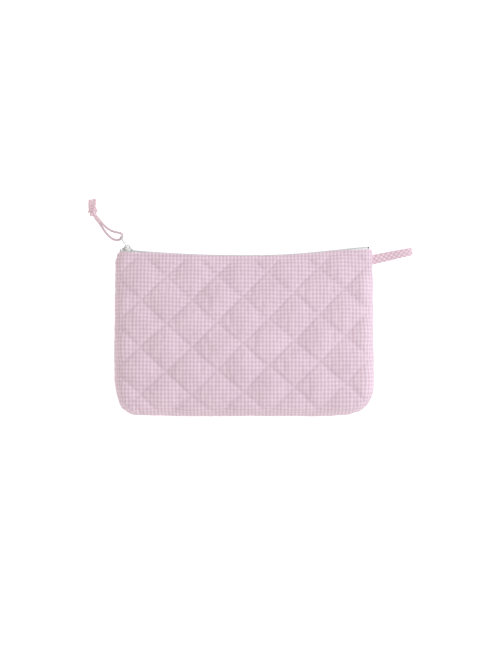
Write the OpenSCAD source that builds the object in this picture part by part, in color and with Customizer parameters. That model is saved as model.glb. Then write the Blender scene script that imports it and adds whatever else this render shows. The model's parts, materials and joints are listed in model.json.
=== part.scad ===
// Quilted gingham makeup bag with a zip along its curved top edge, a knotted
// pull cord on the zip's slider and a folded loop in the side seam.
//
// The bag lies on its back panel: +X runs to the side loop, +Y to the zip and
// +Z out of the front panel. The origin is the middle of the back's resting
// face, halfway between the base and the middle of the mouth.
//
// Front and back are cut alike and meet in a seam round the sides and base.
// The front swings about the base seam, which stands in for cloth that bends.

/* [Bag] */
// Width across the side walls
bag_w = 236; // [190:1:290]
// Height from the base to the middle of the mouth
bag_h = 148; // [120:1:180]
// Thickness of the filled bag at its base
bag_t = 46; // [36:1:60]
// Thickness of the bag at its mouth
mouth_t = 18; // [17:1:22]
// Height of the zip's middle over the surface the back rests on
mouth_z = 12; // [11.5:0.5:15]
// Radius of the two bottom corners, seen from the front
corner_r = 22; // [10:1:30]
// Radius where front and back turn into the base
base_r = 15; // [10:1:17]
// Radius where front and back turn into the side walls
edge_r = 8; // [6:1:12]

/* [Cloth] */
// Thickness of the outer cotton
cotton_t = 0.6; // [0.3:0.1:0.9]
// Thickness of the batting at rest
batting_t = 2; // [1:0.1:2.4]
// Thickness of the lining
lining_t = 0.4; // [0.2:0.1:0.6]
// Gap between the two halves along the seam
seam_gap = 0.3; // [0.3:0.1:1]

/* [Zip] */
// Radius of the curve that the mouth and the zip follow
zip_r = 1150; // [700:10:2400]
// Depth of the tape's face below the mouth's folded edges
zip_recess = 2.4; // [2.2:0.1:4]
// Gap between each end of the tape and the side wall's lining
tape_end_gap = 0.9; // [0.6:0.1:3]
// Thickness of the tape
tape_t = 0.6; // [0.4:0.1:0.8]
// Width of tape that is sewn down inside each panel
tape_seam_w = 8; // [4:1:12]
// Height of the coil over the tape
coil_h = 1.6; // [1.2:0.1:2]
// Width of each half of the coil
coil_w = 1.8; // [1.2:0.1:2.2]
// Gap between the two halves of the coil
coil_gap = 1.2; // [1.1:0.1:1.6]

/* [Slider] */
// Length of the slider
slider_l = 10.4; // [8:0.1:13]
// Width of the slider
slider_w = 8; // [7.6:0.1:9]
// Thickness of each of the slider's two plates
plate_t = 1.1; // [0.8:0.1:1.4]
// Running gap round the coil and tape inside the slider
slider_gap = 0.35; // [0.3:0.05:0.6]
// Thickness of the wedge between the slider's plates
wedge_t = 0.6; // [0.4:0.1:0.7]
// Radius of the bridge that holds the pull tab
bridge_r = 3.2; // [2.8:0.1:4]
// Thickness of the bridge
bridge_t = 2; // [1.4:0.1:2.4]

/* [Pull tab] */
// Length of the tab from its pivot to its tip
tab_l = 11.8; // [10:0.1:22]
// Width of the tab
tab_w = 5.4; // [5:0.1:6.6]
// Thickness of the tab
tab_t = 1.1; // [0.8:0.1:1.3]
// Radius of the ends of the cord's slot
tab_slot_r = 1.5; // [1.3:0.1:1.7]
// Angle at which the tab stands, from +X
tab_angle = 124; // [60:1:160]

/* [Pull cord] */
// Diameter of the cord
cord_d = 1.6; // [1.2:0.1:1.8]

/* [Side loop] */
// Length of the loop outside the seam
loop_l = 36; // [24:1:60]
// Width of the folded strap
loop_w = 8; // [6:1:14]
// Thickness of one layer of the strap
loop_t = 1.4; // [0.8:0.1:2]
// Widest space inside the loop
loop_gap = 5.8; // [4.6:0.1:6.6]
// Upward tilt of the loop towards the mouth
loop_tilt = 12; // [0:1:20]
// Distance of the loop's middle below the middle of the mouth
loop_drop = 4.6; // [4:0.1:30]

/* [Hidden] */

// True arcs of the mouth are long, so they need many facets in a preview.
$fn = 64;
arc_fn = 2400;
skin_gap = 0.05;
beyond = 12;

y_base = -bag_h / 2;
y_mouth = bag_h / 2;
zip_centre = y_mouth + zip_r;
mouth_low = mouth_z - mouth_t / 2;
mouth_high = mouth_z + mouth_t / 2;
seam_z = bag_t / 2;
seam_tilt = atan((mouth_z - seam_z) / bag_h);

// Depth of each layer's outer and inner face below the bag's outer face
batting_d = cotton_t + skin_gap;
lining_d = batting_d + batting_t + skin_gap;
wall_t = lining_d + lining_t;
// Length of the zip's tape, measured straight across the bag
tape_l = bag_w - 2 * (wall_t + tape_end_gap);

// Height of the bag's y on the curve at x, with a fall below the folded edge
function mouth_y(x, fall = 0) =
  zip_centre - sqrt(pow(zip_r + fall, 2) - x * x);
// Height of the seam between front and back at y
function seam_height(y) = seam_z + (y - y_base) * tan(seam_tilt);

// ---- the bag's outline, inset by d ------------------------------------------

back_rise = 18;
crown_end = 0.8;
crown_steps = 8;
arc_steps = 5;

function arc_points(cy, cz, r, a0, a1) = [
  for (i = [0:arc_steps])
  let (a = a0 + (a1 - a0) * i / arc_steps)
  [cy + r * cos(a), cz + r * sin(a)]
];
// The front's crown: u runs from the mouth towards the base
function crown_z(u) =
  mouth_high + (bag_t - mouth_high) * sin(90 * u / crown_end);
function crown_slope(u) =
  (bag_t - mouth_high) / crown_end / bag_h * PI / 2 * cos(90 * u / crown_end);
function crown_points(d) = [
  for (i = [0:crown_steps])
  let (u = crown_end * i / crown_steps)
  [y_mouth - u * bag_h, crown_z(u) - d * sqrt(1 + pow(crown_slope(u), 2))]
];

// Cross-section from the mouth to the base
module side_profile(d) {
  polygon(concat(
    [[y_mouth + beyond, mouth_low + d], [y_mouth, mouth_low + d]],
    [[y_mouth - back_rise, d]],
    arc_points(y_base + base_r, base_r, base_r - d, 270, 180),
    arc_points(y_base + base_r, bag_t - base_r, base_r - d, 180, 90),
    [for (i = [0:crown_steps]) crown_points(d)[crown_steps - i]],
    [[y_mouth + beyond, mouth_high - d * sqrt(1 + pow(crown_slope(0), 2))]]
  ));
}

// Outline seen from the front
module face_outline(d) {
  half = bag_w / 2;
  polygon(concat(
    [[half - d, y_mouth + beyond], [-half + d, y_mouth + beyond]],
    arc_points(-half + corner_r, y_base + corner_r, corner_r - d, 180, 270),
    arc_points(half - corner_r, y_base + corner_r, corner_r - d, 270, 360)
  ));
}

// Outline seen from the mouth
module end_outline(d) {
  half = bag_w / 2;
  r = edge_r - d;
  polygon(concat(
    arc_points(-half + edge_r, edge_r, r, 180, 270),
    arc_points(half - edge_r, edge_r, r, 270, 360),
    arc_points(half - edge_r, bag_t - edge_r, r, 0, 90),
    arc_points(-half + edge_r, bag_t - edge_r, r, 90, 180)
  ));
}

module filled_bag(d) {
  intersection() {
    rotate([90, 0, 90])
      linear_extrude(height = bag_w + beyond, center = true)
        side_profile(d);
    translate([0, 0, -beyond])
      linear_extrude(height = bag_t + 2 * beyond)
        face_outline(d);
    translate([0, y_mouth + 2 * beyond, 0])
      rotate([90, 0, 0])
        linear_extrude(height = bag_h + 4 * beyond)
          end_outline(d);
  }
}

// One layer between two depths, open at the mouth
module layer(d_out, d_in) {
  difference() {
    filled_bag(d_out);
    filled_bag(d_in);
    translate([0, zip_centre, -beyond])
      cylinder(r = zip_r, h = bag_t + 2 * beyond, $fn = arc_fn);
  }
}

// Everything on one side of the seam: side is 1 for the front, -1 for the back
module seam_side(side) {
  deep = bag_t + bag_h;
  translate([0, y_base, seam_z])
    rotate([seam_tilt, 0, 0])
      translate([0, bag_h / 2, side * (deep + seam_gap) / 2])
        cube([bag_w + 2 * beyond, 3 * bag_h, deep], center = true);
}

module half_layer(side, d_out, d_in) {
  intersection() {
    layer(d_out, d_in);
    seam_side(side);
  }
}

// ---- panels -----------------------------------------------------------------

module front_cotton() {
  color("#e6cfd8") half_layer(1, 0, cotton_t);
}
module back_cotton() {
  color("#e6cfd8") half_layer(-1, 0, cotton_t);
}
module front_batting() {
  color("#f6f4ee") half_layer(1, batting_d, batting_d + batting_t);
}
module back_batting() {
  color("#f6f4ee") half_layer(-1, batting_d, batting_d + batting_t);
}
module front_lining() {
  color("#f3e9ec") half_layer(1, lining_d, wall_t);
}
module back_lining() {
  color("#f3e9ec") half_layer(-1, lining_d, wall_t);
}

// ---- bindings that cover the raw seam inside --------------------------------

binding_w = 6;
binding_t = 1.4;
binding_clear = 0.3;

// A folded strip under the seam, from y0 to y1, standing in from a side wall
module side_binding(hand) {
  y0 = y_base + corner_r + 4;
  y1 = y_mouth - 22;
  long = (y1 - y0) / cos(seam_tilt);
  reach = bag_w / 2 - wall_t - skin_gap - binding_w / 2;
  translate([hand * reach, y0, seam_height(y0) - binding_t / 2 - binding_clear])
    rotate([seam_tilt, 0, 0])
      translate([0, long / 2, 0])
        cube([binding_w, long, binding_t], center = true);
}

module left_seam_binding() {
  color("#ecdde2") side_binding(-1);
}
module right_seam_binding() {
  color("#ecdde2") side_binding(1);
}
module base_seam_binding() {
  long = bag_w - 2 * corner_r - 8;
  y0 = y_base + wall_t + skin_gap;
  color("#ecdde2")
    translate([0, y0 + binding_w / 2, seam_z - binding_t / 2 - 1])
      cube([long, binding_w, binding_t], center = true);
}

// ---- zip --------------------------------------------------------------------

// Turns a profile about the mouth's centre, from x0 to x1 across the bag.
// The profile's first axis is depth below the folded edge, its second is z.
module along_zip(x0, x1) {
  a0 = asin(x0 / zip_r);
  a1 = asin(x1 / zip_r);
  translate([0, zip_centre, 0])
    rotate([0, 0, 270 + a0])
      rotate_extrude(angle = a1 - a0, $fn = arc_fn)
        translate([zip_r, 0])
          children();
}

// Places a piece at x on the zip: its y points out of the mouth from the
// tape's face, and its z is measured from the zip's middle.
module on_zip(x) {
  translate([0, zip_centre, mouth_z])
    rotate([0, 0, asin(x / zip_r)])
      translate([0, -zip_r - zip_recess, 0])
        children();
}

// The front's layers are thicker along z where the crown slopes at the mouth
tape_clear = 0.1;
tape_inset = mouth_t / 2 - wall_t * sqrt(1 + pow(crown_slope(0), 2)) - tape_clear;

// Tape of one side: a visible web and a strip sewn to the panel's inside,
// both cut square across the bag at the tape's ends
module tape(side) {
  spare = 2;
  x = tape_l / 2 + spare;
  intersection() {
    along_zip(-x, x)
      polygon([
        for (p = [
          [zip_recess, coil_gap / 2],
          [zip_recess, tape_inset],
          [zip_recess + tape_seam_w, tape_inset],
          [zip_recess + tape_seam_w, tape_inset - tape_t],
          [zip_recess + tape_t, tape_inset - tape_t],
          [zip_recess + tape_t, coil_gap / 2]
        ])
        [p[0], mouth_z + side * p[1]]
      ]);
    translate([-tape_l / 2, 0, 0])
      cube([tape_l, bag_h, bag_t]);
  }
}

stop_l = 1.2;
stop_gap = 0.3;

// Half of the coil: it starts under the slider and ends at the bottom stop
module coil(side) {
  bevel = 0.4;
  x0 = -tape_l / 2 + stop_l + stop_gap;
  x1 = tape_l / 2 - stop_l - stop_gap;
  z0 = coil_gap / 2;
  z1 = coil_gap / 2 + coil_w;
  low = zip_recess - skin_gap;
  top = zip_recess - coil_h;
  along_zip(x0, x1)
    polygon([
      for (p = [
        [low, z0], [top + bevel, z0], [top, z0 + bevel],
        [top, z1 - bevel], [top + bevel, z1], [low, z1]
      ])
      [p[0], mouth_z + side * p[1]]
    ]);
}

module front_zip_tape() {
  color("#f2f4f3") tape(1);
}
module back_zip_tape() {
  color("#f2f4f3") tape(-1);
}
module front_zip_coil() {
  color("#f7f8f8") coil(1);
}
module back_zip_coil() {
  color("#f7f8f8") coil(-1);
}

module zip_top_stops() {
  x = -(tape_l - stop_l) / 2;
  color("#d8dad9")
    for (side = [-1, 1])
      on_zip(x)
        translate([0, coil_h / 2 + skin_gap, side * (coil_gap + coil_w) / 2])
          cube([stop_l, coil_h, coil_w], center = true);
}

module zip_bottom_stop() {
  color("#9d9293")
    on_zip((tape_l - stop_l) / 2)
      translate([0, coil_h / 2 + skin_gap, 0])
        cube([stop_l, coil_h, coil_gap + 2 * coil_w], center = true);
}

// ---- topstitching along the mouth -------------------------------------------

stitch_pitch = 4;
stitch_l = 2.6;
stitch_w = 0.5;
stitch_d = 3.2;

// A row of stitches just over the outer cotton, at stitch_d below the fold
module stitch_row(z) {
  last = floor((bag_w / 2 - edge_r - 4) / stitch_pitch);
  for (i = [-last:last]) {
    x = i * stitch_pitch;
    translate([0, zip_centre, z])
      rotate([0, 0, asin(x / zip_r)])
        translate([0, -zip_r - stitch_d, 0])
          cube([stitch_l, stitch_w, stitch_w], center = true);
  }
}

module front_topstitching() {
  y = y_mouth - stitch_d - stitch_w;
  rise = crown_z((y_mouth - y) / bag_h) + stitch_w / 2 + skin_gap;
  color("#f0dfe6") stitch_row(rise);
}
module back_topstitching() {
  y = y_mouth - stitch_d - stitch_w;
  under = mouth_low * (1 - (y_mouth - y) / back_rise);
  color("#f0dfe6") stitch_row(under - stitch_w / 2 - skin_gap);
}

// ---- slider -----------------------------------------------------------------

slider_x = -tape_l / 2 + stop_l + stop_gap + slider_l / 2;
plate_y = coil_h + slider_gap;
top_y = plate_y + plate_t;
rim_w = 0.7;
pivot_x = -0.6;
pivot_h = 1.3;
pin_r = 0.55;
pin_play = 0.25;

// One plate of the slider, from above: round at the wedge end, narrow behind
module slider_plate() {
  r = slider_w / 2;
  tail = slider_w / 2 - 0.7;
  rotate([-90, 0, 0])
    linear_extrude(height = plate_t)
      union() {
        translate([-slider_l / 2 + r, 0]) circle(r = r);
        polygon([
          [-slider_l / 2 + r, r], [slider_l / 2, tail],
          [slider_l / 2, -tail], [-slider_l / 2 + r, -r]
        ]);
      }
}

module slider() {
  rim_h = plate_y - slider_gap;
  inner_y = -tape_t - slider_gap - plate_t;
  wedge_x = -slider_l / 2 + 2;
  color("#e9ebea")
    on_zip(slider_x) {
      // outer plate and inner plate
      translate([0, plate_y, 0]) slider_plate();
      translate([0, inner_y, 0]) slider_plate();
      // wedge that parts the two halves of the coil
      translate([wedge_x, (inner_y + top_y) / 2, 0])
        cube([2.4, top_y - inner_y - plate_t, wedge_t], center = true);
      // rims that guide the coil
      for (side = [-1, 1])
        translate([0.6, plate_y - rim_h / 2, side * (slider_w / 2 - 1.1)])
          cube([slider_l - 5, rim_h, rim_w], center = true);
      // bridge over the pull tab's pin
      translate([0, top_y, -bridge_t / 2])
        linear_extrude(height = bridge_t)
          difference() {
            intersection() {
              circle(r = bridge_r);
              translate([-bridge_r, -0.1])
                square([2 * bridge_r, bridge_r + 0.2]);
            }
            pin_slot();
          }
    }
}

// Slot through the bridge, in which the tab's pin turns
module pin_slot() {
  r = pin_r + pin_play;
  for (x = [pivot_x, -pivot_x]) {
    translate([x, pivot_h]) circle(r = r);
  }
  translate([pivot_x, pivot_h - r]) square([-2 * pivot_x, 2 * r]);
}

// ---- pull tab ---------------------------------------------------------------

tab_rim = 2.6;
arm_t = 1.2;
neck = 4.2;

// Places a piece at the tab's pivot, with x along the tab
module on_tab() {
  on_zip(slider_x)
    translate([pivot_x, top_y + pivot_h, 0])
      rotate([0, 0, tab_angle - asin(slider_x / zip_r)])
        children();
}

module pull_tab() {
  end_x = tab_l - tab_w / 2;
  slot_end = tab_l - tab_rim;
  slot_start = slot_end - 2.2;
  color("#eceeed")
    on_tab() {
      // pin in the bridge
      cylinder(r = pin_r, h = tab_w, center = true);
      // arms beside the bridge
      for (side = [-1, 1])
        translate([neck / 2 + 0.1, 0, side * (tab_w - arm_t) / 2])
          cube([neck + 0.4, tab_t, arm_t], center = true);
      // flat tab with a round end and the cord's slot
      difference() {
        union() {
          translate([neck, -tab_t / 2, -tab_w / 2])
            cube([end_x - neck, tab_t, tab_w]);
          translate([end_x, 0, 0])
            rotate([90, 0, 0])
              cylinder(d = tab_w, h = tab_t, center = true);
        }
        for (x = [slot_start, slot_end])
          translate([x, 0, 0])
            rotate([90, 0, 0])
              cylinder(r = tab_slot_r, h = 3 * tab_t, center = true);
        translate([(slot_start + slot_end) / 2, 0, 0])
          cube([slot_end - slot_start, 3 * tab_t, 2 * tab_slot_r], center = true);
      }
    }
}

// ---- pull cord --------------------------------------------------------------

// The cord's middle line, from the knot through the tab's slot and back
cord_route = [
  [-138.2, 109.3, 3.7],
  [-136.9, 107.3, 3.5],
  [-134.4, 104.2, 3.2],
  [-132.2, 100.8, 3.2],
  [-129.8, 97.2, 3.9],
  [-127.0, 93.6, 5.2],
  [-123.8, 90.4, 7.0],
  [-120.2, 88.0, 9.2],
  [-116.8, 87.2, 11.0],
  [-114.2, 87.8, 12.0],
  [-112.2, 89.4, 12.4],
  [-111.8, 91.5, 12.4],
  [-113.0, 93.2, 12.0],
  [-115.4, 94.0, 11.2],
  [-118.6, 94.7, 10.0],
  [-122.0, 95.9, 8.4],
  [-125.2, 97.7, 6.6],
  [-128.2, 100.1, 5.0],
  [-131.0, 103.0, 4.0],
  [-133.4, 105.9, 3.7],
  [-135.3, 108.3, 3.7],
  [-136.6, 110.3, 3.7]
];
cord_sides = 8;

function unit(v) = v / norm(v);
function tangent(path, i) =
  unit(path[min(i + 1, len(path) - 1)] - path[max(i - 1, 0)]);
function ring(path, i, r) =
  let (t = tangent(path, i))
  let (u = unit(cross(t, [0, 0, 1])))
  let (v = cross(t, u))
  [for (k = [0:cord_sides - 1])
    path[i] + r * (cos(360 * k / cord_sides) * u + sin(360 * k / cord_sides) * v)];

// One closed tube along a path
module tube(path, r) {
  n = len(path);
  points = [for (i = [0:n - 1]) for (p = ring(path, i, r)) p];
  sides = [
    for (i = [0:n - 2])
    for (k = [0:cord_sides - 1])
    let (a = i * cord_sides + k)
    let (b = i * cord_sides + (k + 1) % cord_sides)
    [a, b, b + cord_sides, a + cord_sides]
  ];
  ends = [
    [for (k = [0:cord_sides - 1]) cord_sides - 1 - k],
    [for (k = [0:cord_sides - 1]) (n - 1) * cord_sides + k]
  ];
  polyhedron(points = points, faces = concat(sides, ends), convexity = 6);
}

module pull_cord() {
  color("#dcaebd") tube(cord_route, cord_d / 2);
}

// The knot's lumps and the two tails, and the flat side the cord meets
knot_middle = [-139.2, 112.4, 3.9];
knot_face = 3.1;
knot_turn = 124;
tail_tips = [[-142, 124.4, 2.2], [-137.4, 125.2, 2.2]];

module lump(p, r) {
  translate(p) sphere(r = r, $fn = 20);
}

module pull_cord_knot() {
  color("#dcaebd")
    difference() {
      union() {
        hull() {
          lump(knot_middle + [-2.6, -1, 0], 2.6);
          lump(knot_middle + [2.2, 1.2, 0], 2.6);
        }
        hull() {
          lump(knot_middle + [-1.4, 2.2, -0.6], 2.6);
          lump(knot_middle + [1.2, -2, 0.6], 2.6);
        }
        for (tip = tail_tips)
          hull() {
            lump(knot_middle + [0, 2, -0.8], 1.8);
            lump(tip, 1.9);
          }
      }
      // flat side where both strands come in
      translate(knot_middle)
        rotate([0, 0, knot_turn + 180])
          translate([knot_face, -10, -10])
            cube([20, 20, 20]);
    }
}

// ---- side loop --------------------------------------------------------------

loop_x = bag_w / 2 + loop_t + 0.6;
loop_y = y_mouth - loop_drop;
loop_z = seam_height(y_mouth - loop_drop);
loop_steps = 24;
// The curve's own peak is 0.57 of its half width
loop_half = loop_gap / 2 / 0.57;

// Inner edge of the loop from the side, pinched at the seam and round outside
function loop_point(a) = [
  (loop_l - loop_t) * (1 - cos(a)) / 2,
  loop_half * sin(a) * pow(sin(a / 2), 3)
];
function loop_normal(a) =
  let (t = unit(loop_point(min(a + 2, 359)) - loop_point(max(a - 2, 1))))
  [-t[1], t[0]];

module on_loop() {
  translate([loop_x, loop_y, loop_z])
    rotate([0, 0, loop_tilt])
      children();
}

module side_loop() {
  first = 5;
  turn = 360 / loop_steps;
  outer = [
    for (i = [0:loop_steps])
    let (a = max(first, min(360 - first, i * turn)))
    loop_point(a) + loop_t * loop_normal(a)
  ];
  inner = [
    for (i = [4:loop_steps - 4])
    loop_point(i * turn)
  ];
  color("#e3b7c6")
    on_loop()
      rotate([90, 0, 0])
        linear_extrude(height = loop_w, center = true)
          difference() {
            polygon(outer);
            polygon(inner);
          }
}

// A short bar of thread across the loop, where the side seam catches it
module side_loop_stitching() {
  color("#f0dfe6")
    on_loop()
      translate([2.2, 0, 0])
        for (side = [-1, 1])
          for (i = [-2:2])
            translate([0, i * 1.4, side * (loop_t + 0.3)])
              cube([1.8, 0.5, 0.4], center = true);
}

front_cotton();
back_cotton();
front_batting();
back_batting();
front_lining();
back_lining();
base_seam_binding();
left_seam_binding();
right_seam_binding();
front_zip_tape();
back_zip_tape();
front_zip_coil();
back_zip_coil();
zip_top_stops();
zip_bottom_stop();
front_topstitching();
back_topstitching();
slider();
pull_tab();
pull_cord();
pull_cord_knot();
side_loop();
side_loop_stitching();
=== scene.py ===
import json
import math

import bmesh
import bpy
import numpy as np
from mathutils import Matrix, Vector


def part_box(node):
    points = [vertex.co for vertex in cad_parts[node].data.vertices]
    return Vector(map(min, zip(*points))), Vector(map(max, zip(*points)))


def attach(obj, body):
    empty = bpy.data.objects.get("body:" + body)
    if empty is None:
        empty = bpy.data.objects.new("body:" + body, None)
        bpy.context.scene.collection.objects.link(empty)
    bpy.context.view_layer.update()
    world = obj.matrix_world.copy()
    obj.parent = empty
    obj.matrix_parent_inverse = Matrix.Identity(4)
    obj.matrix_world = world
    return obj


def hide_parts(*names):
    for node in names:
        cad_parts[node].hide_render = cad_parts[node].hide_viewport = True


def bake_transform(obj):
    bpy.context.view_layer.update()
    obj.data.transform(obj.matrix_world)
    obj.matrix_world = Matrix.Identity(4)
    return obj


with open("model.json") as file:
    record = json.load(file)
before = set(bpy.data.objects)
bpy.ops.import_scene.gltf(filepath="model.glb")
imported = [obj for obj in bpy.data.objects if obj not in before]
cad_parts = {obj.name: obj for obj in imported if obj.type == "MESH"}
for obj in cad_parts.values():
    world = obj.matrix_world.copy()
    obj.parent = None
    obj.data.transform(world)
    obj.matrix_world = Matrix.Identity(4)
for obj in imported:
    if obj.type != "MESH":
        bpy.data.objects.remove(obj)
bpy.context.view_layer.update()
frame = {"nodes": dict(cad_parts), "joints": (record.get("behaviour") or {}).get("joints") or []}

MM = 0.001


# ---- the view -----------------------------------------------------------------
# The bag lies on its back on white card, seen from straight above through a long
# lens. A small soft lamp rakes across it from its right, a bigger one hangs above,
# and white card all round fills the shadows, so only the quilting's relief shows.

def linear(code):
    """An sRGB hex colour as linear red, green, blue and alpha."""
    parts = [int(code[i:i + 2], 16) / 255 for i in (1, 3, 5)]
    return [c / 12.92 if c < 0.04045 else ((c + 0.055) / 1.055) ** 2.4 for c in parts] + [1.0]


def add(tree, kind, settings=None, links=None):
    """Adds one node, with its settings and what feeds it, and returns it."""
    node = tree.nodes.new("ShaderNode" + kind)
    for name, value in (settings or {}).items():
        if isinstance(name, int) or name in node.inputs:
            node.inputs[name].default_value = value
        else:
            setattr(node, name, value)
    for name, source in (links or {}).items():
        tree.links.new(source, node.inputs[name])
    return node


def new_material(name):
    """An empty material and its node tree."""
    made = bpy.data.materials.new(name)
    made.use_nodes = True
    made.node_tree.nodes.clear()
    return made, made.node_tree


def finished(tree, relief, strength, depth, settings, colour=None, gloss=None):
    """Ends a material: relief as a bump of that depth in metres, the shader, the output."""
    bump = add(tree, "Bump", {"Strength": strength, "Distance": depth}, {"Height": relief})
    links = {"Base Color": colour, "Roughness": gloss, "Normal": bump.outputs[0]}
    shader = add(tree, "BsdfPrincipled", settings, {k: v for k, v in links.items() if v is not None})
    add(tree, "OutputMaterial", links={"Surface": shader.outputs[0]})


def place(obj):
    """Puts a new object in the scene."""
    bpy.context.scene.collection.objects.link(obj)
    return obj


scene = bpy.context.scene
scene.view_settings.view_transform = "Standard"

lens = bpy.data.cameras.new("camera")
lens.lens = 100
lens.sensor_width = 36
lens.sensor_fit = "HORIZONTAL"
view_width = 0.4387
view_plane = 0.02
camera = place(bpy.data.objects.new("camera", lens))
camera.location = (-0.00366, -0.0011, view_plane + view_width * lens.lens / lens.sensor_width)
scene.camera = camera

world = bpy.data.worlds.new("white_card")
world.use_nodes = True
world.node_tree.nodes.clear()
room = add(world.node_tree, "Background", {"Color": linear("#fffcf8"), "Strength": 0.715})
add(world.node_tree, "OutputWorld", links={"Surface": room.outputs[0]})
scene.world = world


def lamp(name, place_at, size, power, tint):
    """A square soft lamp that faces the bag."""
    light = bpy.data.lights.new(name, "AREA")
    light.shape = "SQUARE"
    light.size = size
    light.energy = power
    light.color = linear(tint)[:3]
    obj = place(bpy.data.objects.new(name, light))
    obj.location = place_at
    facing = Vector((0, 0, view_plane)) - Vector(place_at)
    obj.rotation_euler = facing.to_track_quat("-Z", "Y").to_euler()


lamp("right_lamp", (1.2, 0.22, 1.0), 0.4, 9.6, "#e9f0ff")
lamp("top_lamp", (0.1, -0.2, 1.7), 1.0, 3.6, "#ffffff")

# White card: a matt paper that also glows a little, as card under strong light does.
card, tree = new_material("matt_white_card")
fibres = add(tree, "TexNoise", {"Scale": 900.0, "Detail": 3.0})
finished(tree, fibres.outputs[0], 0.05, 0.0001, {
    "Base Color": linear("#f7f7f8"), "Roughness": 0.9,
    "Emission Color": linear("#ffffff"), "Emission Strength": 0.42})

floor_mesh = bpy.data.meshes.new("floor")
reach = 3.0
floor_mesh.from_pydata(
    [(-reach, -reach, 0), (reach, -reach, 0), (reach, reach, 0), (-reach, reach, 0)],
    [], [(0, 1, 2, 3)])
floor_mesh.materials.append(card)
floor = place(bpy.data.objects.new("floor", floor_mesh))
floor.location.z = -0.0001


# ---- pull cord ----------------------------------------------------------------
# A bias-cut strip of the same gingham, folded and sewn into a narrow, slightly flat
# cord. It is threaded through the pull tab's slot, and both strands run to the
# knot that joins them.

def cloth_mesh(name, points, faces, cloth):
    """A smooth piece from points in mm, with a cloth coordinate for each face's corner."""
    mesh = bpy.data.meshes.new(name)
    mesh.from_pydata((points.reshape(-1, 3) * MM).tolist(), [], faces)
    layer = mesh.uv_layers.new(name="cloth")
    layer.data.foreach_set("uv", (cloth * MM).ravel().astype(np.float32))
    mesh.polygons.foreach_set("use_smooth", [True] * len(mesh.polygons))
    mesh.update()
    return place(bpy.data.objects.new(name, mesh))


def surface(name, points, cloth, loop=False, ends=False):
    """A smooth mesh over a grid of points, with a grid of cloth coordinates.
    loop joins the last column to the first, and ends closes the first and last row."""
    rows, cols = points.shape[:2]
    faces = []
    corners = []
    across = cols if loop else cols - 1
    for j in range(rows - 1):
        for i in range(across):
            k = (i + 1) % cols
            faces.append((j * cols + i, j * cols + k, (j + 1) * cols + k, (j + 1) * cols + i))
            corners.append(((j, i), (j, i + 1), (j + 1, i + 1), (j + 1, i)))
    if ends:
        for j, order in ((0, range(cols - 1, -1, -1)), (rows - 1, range(cols))):
            faces.append(tuple(j * cols + i for i in order))
            corners.append(tuple((j, i) for i in order))
    return cloth_mesh(name, points, faces,
                      np.array([cloth[j, i] for face in corners for j, i in face]))


def run_along(path):
    """The distance along a path to each of its points."""
    return np.concatenate([[0], np.cumsum(np.linalg.norm(np.diff(path, axis=0), axis=1))])


def smooth_path(points, spacing):
    """Points a set distance apart on a smooth curve through the given ones."""
    p = np.vstack([2 * points[0] - points[1], points, 2 * points[-1] - points[-2]])
    fine = []
    for k in range(1, len(p) - 2):
        for t in np.linspace(0, 1, 20, endpoint=False):
            fine.append(0.5 * (2 * p[k] + (p[k + 1] - p[k - 1]) * t
                               + (2 * p[k - 1] - 5 * p[k] + 4 * p[k + 1] - p[k + 2]) * t ** 2
                               + (3 * p[k] - p[k - 1] - 3 * p[k + 1] + p[k + 2]) * t ** 3))
    fine = np.array(fine + [p[-2]])
    run = run_along(fine)
    even = np.linspace(0, run[-1], max(3, int(run[-1] / spacing) + 1))
    return np.stack([np.interp(even, run, fine[:, k]) for k in range(3)], axis=1)


def strand(name, path, wide, thick, sides=14, up=(0, 0, 1), end_round=True, squareness=2.0):
    """A closed band or cord along a path: wide across, thick along up, with round ends."""
    n = len(path)
    along = np.gradient(path, axis=0)
    along /= np.linalg.norm(along, axis=1)[:, None]
    side = np.cross(along, np.broadcast_to(up, path.shape))
    side /= np.maximum(np.linalg.norm(side, axis=1), 1e-9)[:, None]
    top = np.cross(side, along)
    wide = np.broadcast_to(wide, (n,)).astype(float).copy()
    thick = np.broadcast_to(thick, (n,)).astype(float).copy()
    if end_round:
        for k, share in ((0, 0.3), (1, 0.8), (-1, 0.3), (-2, 0.8)):
            wide[k] *= share
            thick[k] *= share
    turn = np.linspace(0, 2 * np.pi, sides, endpoint=False)
    c = np.sign(np.cos(turn)) * np.abs(np.cos(turn)) ** (2 / squareness)
    s = np.sign(np.sin(turn)) * np.abs(np.sin(turn)) ** (2 / squareness)
    ring = (side[:, None] * (wide[:, None] * c)[..., None]
            + top[:, None] * (thick[:, None] * s)[..., None]) / 2
    run = run_along(path)
    hoop = np.stack([np.append(c, c[0]) * wide.max(), np.append(s, s[0]) * thick.max()]) / 2
    girth = np.append(0, np.cumsum(np.linalg.norm(np.diff(hoop, axis=1), axis=0)))
    cloth = np.stack(np.broadcast_arrays(girth[None, :], run[:, None]), axis=2)
    return surface(name, path[:, None] + ring, cloth, loop=True, ends=True)


def dress(obj, made):
    """Gives a piece one material."""
    obj.data.materials.clear()
    obj.data.materials.append(made)
    return obj


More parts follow.
